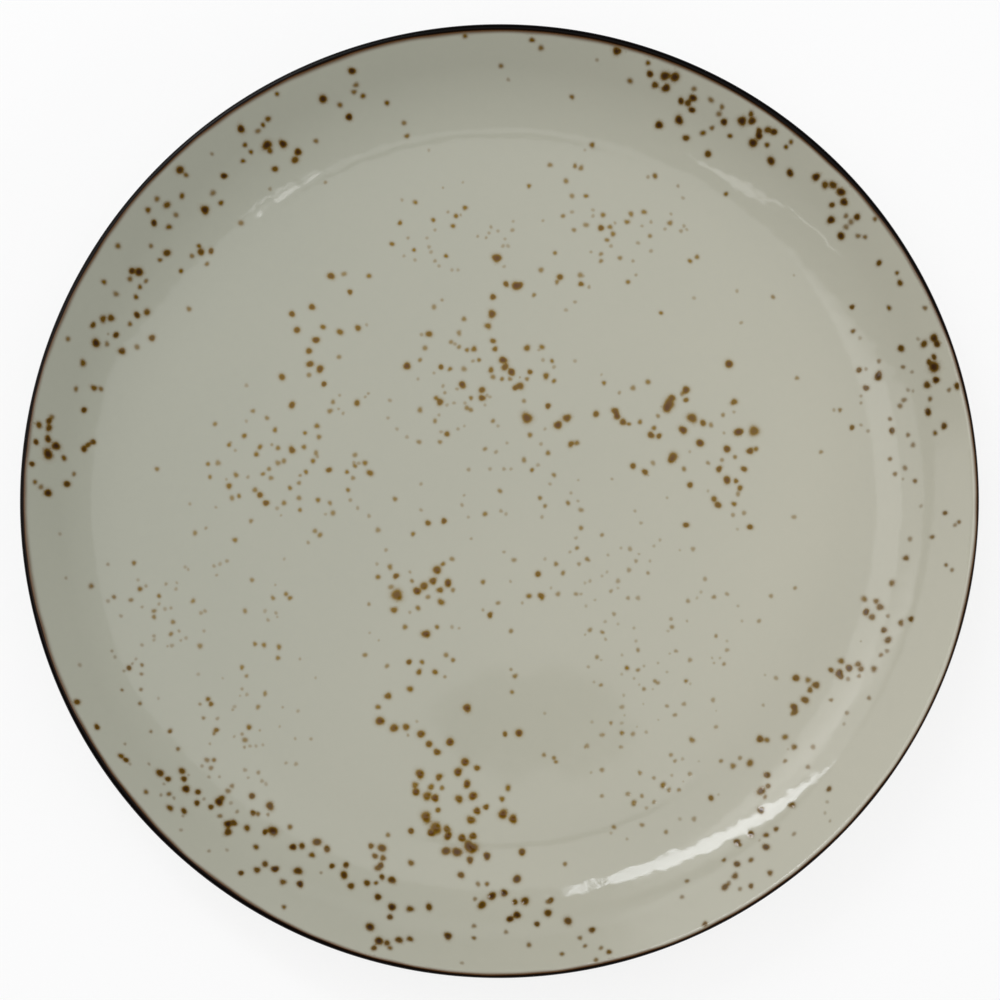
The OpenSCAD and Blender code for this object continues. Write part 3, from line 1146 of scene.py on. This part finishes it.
def dark_glaze():
    """Iron-saturated glaze, brushed round the lip and fired to a soft gloss: black, with a red-brown line
    where it thins over the cream."""
    material, tree, shader, place = finish("black iron glaze")
    brown = add(tree, "ShaderNodeAttribute", attribute_name="browning").outputs["Fac"]
    streak = add(tree, "ShaderNodeTexNoise", {"Vector": place, "Scale": 1 / STREAK_W, "Detail": 2.0})
    pool = add(
        tree, "ShaderNodeMix",
        {"Factor": streak.outputs[0], "A": linear("#010101"), "B": linear("#070403")},
        data_type="RGBA",
    )
    colour = add(
        tree, "ShaderNodeMix", {"Factor": brown, "A": pool.outputs["Result"], "B": linear("#3A220C")},
        data_type="RGBA",
    )
    tree.links.new(colour.outputs["Result"], shader.inputs["Base Color"])
    shader.inputs["Roughness"].default_value = 0.12
    shader.inputs["IOR"].default_value = GLAZE_IOR
    shader.inputs["Specular IOR Level"].default_value = 0.1
    return material


# Bare clay: grog, drawn coarser than its grains are so that it shows, and the patches that the kiln toasted
GROG_W = 0.9 * MM
GRIT_H = 0.15 * MM
FLECK_SPAN = (0.62, 0.72)
TOAST_W = 30 * MM


def bare_stoneware():
    """Buff stoneware clay, turned and sponged, fired bare: matt and toasted, with grog and iron flecks."""
    material, tree, shader, place = finish("bare stoneware")
    grog = add(tree, "ShaderNodeTexNoise", {"Vector": place, "Scale": 1 / GROG_W, "Detail": 3.0})
    toast = add(tree, "ShaderNodeTexNoise", {"Vector": place, "Scale": 1 / TOAST_W, "Detail": 2.0})
    clay = add(
        tree, "ShaderNodeMix", {"Factor": toast.outputs[0], "A": linear("#CDBFA4"), "B": linear("#B79B78")},
        data_type="RGBA",
    )
    fleck = add(
        tree, "ShaderNodeMapRange",
        {"Value": grog.outputs[0], "From Min": FLECK_SPAN[0], "From Max": FLECK_SPAN[1]},
    )
    colour = add(
        tree, "ShaderNodeMix",
        {"Factor": fleck.outputs[0], "A": clay.outputs["Result"], "B": linear("#6E5740")},
        data_type="RGBA",
    )
    bump = add(tree, "ShaderNodeBump", {"Height": grog.outputs[0], "Strength": 0.5, "Distance": GRIT_H})
    tree.links.new(colour.outputs["Result"], shader.inputs["Base Color"])
    tree.links.new(bump.outputs[0], shader.inputs["Normal"])
    shader.inputs["Roughness"].default_value = 0.85
    shader.inputs["IOR"].default_value = 1.5
    return material


# Studio: a white table, soft lamps overhead, and windows at the right and the back, all in metres
TABLE_W = 60
TABLE_GLOW = 0.8


def white_table():
    """A table under white paper, which shows white all the way out and still takes the plate's shadow."""
    mesh = bpy.data.meshes.new("table")
    half = TABLE_W / 2
    corners = [(-half, -half, 0), (half, -half, 0), (half, half, 0), (-half, half, 0)]
    mesh.from_pydata(corners, [], [(0, 1, 2, 3)])
    table = bpy.data.objects.new("table", mesh)
    bpy.context.scene.collection.objects.link(table)
    material = bpy.data.materials.new("white paper")
    material.use_nodes = True
    tree = material.node_tree
    tree.nodes.clear()
    paper = add(tree, "ShaderNodeBsdfDiffuse", {"Color": linear("#F2F2F2")})
    glow = add(tree, "ShaderNodeEmission", {"Color": linear("#FFFFFF"), "Strength": 1.0})
    rays = add(tree, "ShaderNodeLightPath").outputs
    seen = add(
        tree, "ShaderNodeMath", {0: rays["Is Camera Ray"], 1: rays["Is Glossy Ray"]}, operation="MAXIMUM"
    )
    seen = add(
        tree, "ShaderNodeMath", {0: seen.outputs[0], 1: rays["Is Transmission Ray"]}, operation="MAXIMUM"
    )
    share = add(tree, "ShaderNodeMath", {0: seen.outputs[0], 1: TABLE_GLOW}, operation="MULTIPLY")
    mixed = add(
        tree, "ShaderNodeMixShader", {0: share.outputs[0], 1: paper.outputs[0], 2: glow.outputs[0]}
    )
    add(tree, "ShaderNodeOutputMaterial", {"Surface": mixed.outputs[0]})
    mesh.materials.append(material)


def lamp(name, place, size, brightness, tint="#FFFFFF", turn=0, tip=0, fade=0, lights=True, mirrored=True):
    """A soft box facing down, tipped and then turned about the vertical, in degrees: a tip of -90 faces the
    near side. brightness is that of its face, where 1 is white paper in this light, and fade is the share
    of its width, from each edge, over which it dims to nothing. Without lights it adds nothing to matt
    surfaces, and without mirrored it isn't seen in glossy ones."""
    data = bpy.data.lights.new(name, "AREA")
    data.shape = "RECTANGLE"
    data.size, data.size_y = size
    data.energy = brightness * math.pi * size[0] * size[1]
    data.color = linear(tint)[:3]
    if fade:
        fade_edges(data, fade)
    box = bpy.data.objects.new(name, data)
    box.location = place
    box.rotation_euler = (math.radians(tip), 0, math.radians(turn))
    box.visible_camera = False
    box.visible_diffuse = lights
    box.visible_glossy = mirrored
    bpy.context.scene.collection.objects.link(box)


def fade_edges(data, fade):
    data.use_nodes = True
    tree = data.node_tree
    place = add(tree, "ShaderNodeNewGeometry").outputs["Parametric"]
    sides = add(tree, "ShaderNodeSeparateXYZ", {"Vector": place})
    kept = []
    for axis in ("X", "Y"):
        offset = add(tree, "ShaderNodeMath", {0: sides.outputs[axis], 1: 0.5}, operation="SUBTRACT")
        away = add(tree, "ShaderNodeMath", {0: offset.outputs[0]}, operation="ABSOLUTE")
        kept.append(add(
            tree, "ShaderNodeMapRange",
            {"Value": away.outputs[0], "From Min": 0.5 - fade, "From Max": 0.5, "To Min": 1.0, "To Max": 0.0},
            interpolation_type="SMOOTHSTEP",
        ).outputs[0])
    both = add(tree, "ShaderNodeMath", {0: kept[0], 1: kept[1]}, operation="MULTIPLY")
    tree.links.new(both.outputs[0], tree.nodes["Emission"].inputs["Strength"])


# Overhead lamps hang at about this height. Those that overlap hang a centimetre or so apart, because of two
# lamps in one plane only one is mirrored. The floor of the well mirrors a round of 0.4 m radius up there
CEILING = 1.8
# Black card: middle and half size in plan, drop below the lamps, and roundness from 0, a rectangle, to 1
CARD_MIDDLE = (0.011, -0.083)
CARD_HALF = (0.112, 0.06)
CARD_DROP = 0.04
CARD_ROUNDNESS = 0.6
CARD_POINTS = 32


def black_card():
    """A small card with round corners that dims one patch of what the floor of the well mirrors."""
    points = []
    for k in range(CARD_POINTS):
        angle = FULL_TURN * k / CARD_POINTS
        c, s = math.cos(angle), math.sin(angle)
        points.append((
            CARD_MIDDLE[0] + CARD_HALF[0] * math.copysign(abs(c) ** CARD_ROUNDNESS, c),
            CARD_MIDDLE[1] + CARD_HALF[1] * math.copysign(abs(s) ** CARD_ROUNDNESS, s),
            CEILING - CARD_DROP,
        ))
    mesh = bpy.data.meshes.new("black card")
    mesh.from_pydata(points, [], [tuple(range(CARD_POINTS))])
    card = bpy.data.objects.new("black_card", mesh)
    card.visible_camera = False
    bpy.context.scene.collection.objects.link(card)
    material, _, shader, _ = finish("black card")
    shader.inputs["Base Color"].default_value = linear("#0A0A0A")
    shader.inputs["Roughness"].default_value = 0.9
    mesh.materials.append(material)


# Light from all round, and how much of it a gloss mirrors, as a room that is dim beyond its lamps
FILL_LIGHT = 0.485
MIRRORED_ROOM = 0.15


def room_light():
    world = bpy.data.worlds.new("studio")
    world.use_nodes = True
    tree = world.node_tree
    background = tree.nodes["Background"]
    background.inputs["Color"].default_value = linear("#FFFFFF")
    rays = add(tree, "ShaderNodeLightPath").outputs
    dimmed = add(
        tree, "ShaderNodeMapRange",
        {"Value": rays["Is Glossy Ray"], "To Min": FILL_LIGHT, "To Max": MIRRORED_ROOM},
    )
    tree.links.new(dimmed.outputs[0], background.inputs["Strength"])
    bpy.context.scene.world = world


DAYLIGHT = "#F4F8FF"


def studio():
    room_light()
    white_table()
    black_card()
    lamp("overhead", (-0.55, 0.42, CEILING), (4.1, 1.38), 0.75)
    lamp("overhead sheen", (-0.55, 0.42, CEILING + 0.01), (4.1, 1.38), 0.1, lights=False)
    lamp("overhead middle left", (-0.905, 0.75, CEILING - 0.015), (0.89, 2.05), 1.1, fade=0.1, lights=False)
    lamp("overhead left", (-1.55, 1.5, CEILING - 0.01), (2.6, 2.1), 1.4, fade=0.3)
    lamp("back strip", (-1.075, 1.62, CEILING - 0.02), (1.55, 0.32), 8.5, tint=DAYLIGHT, turn=-29)
    lamp("back strip start", (-0.395, 1.245, CEILING - 0.02), (0.17, 0.4), 8.5, tint=DAYLIGHT, turn=12)
    lamp("back strip end", (-0.26, 1.335, CEILING - 0.02), (0.045, 0.42), 8.5, tint=DAYLIGHT, turn=8.5)
    lamp("back strip tail", (-2.01, 2.05, CEILING - 0.02), (0.5, 0.14), 5, tint=DAYLIGHT, turn=-29)
    lamp("front left strip", (-0.7, -0.665, CEILING), (0.32, 0.13), 2.6, turn=25)
    lamp("front left strip tail", (-1.02, -0.83, CEILING), (0.42, 0.06), 2.4, turn=25)
    lamp("front left strip tip", (-1.57, -0.95, CEILING), (0.5, 0.05), 3)
    lamp("front right strip", (0.36, -0.33, CEILING), (0.24, 0.04), 2.8, turn=-25)
    lamp("front right spot", (0.23, -0.2, CEILING - 0.02), (0.1, 0.05), 5, turn=-30)
    lamp("right window", (3.1, -1.8, 1.6), (5.0, 1.2), 2.7, turn=-120, tip=-90, fade=0.2, mirrored=False)
    lamp("back left window", (-2.8, 2.1, 1.0), (6.5, 2.0), 1.0, turn=53, tip=-90, fade=0.15, lights=False)
    lamp("back window", (0, 3.6, 1.6), (5.0, 1.2), 0.35, tint="#EEF3F8", tip=-90, fade=0.2)


camera()
studio()
face_coat(cream_glaze("cream glaze, face", face_iron))
back_glaze = cream_glaze("cream glaze, back", back_iron)
turned_coat(
    "rim_glaze_band", rim_band_section, dark_glaze(), "rim_band", {"browning": browning}
)
turned_coat("back_glaze_coat", back_section, back_glaze, "back_glaze")
turned_coat("foot_well_glaze_coat", foot_well_section, back_glaze, "foot_well_glaze")
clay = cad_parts["clay_body"]
clay.data.materials.clear()
clay.data.materials.append(bare_stoneware())

bpy.context.scene.view_settings.view_transform = "Standard"
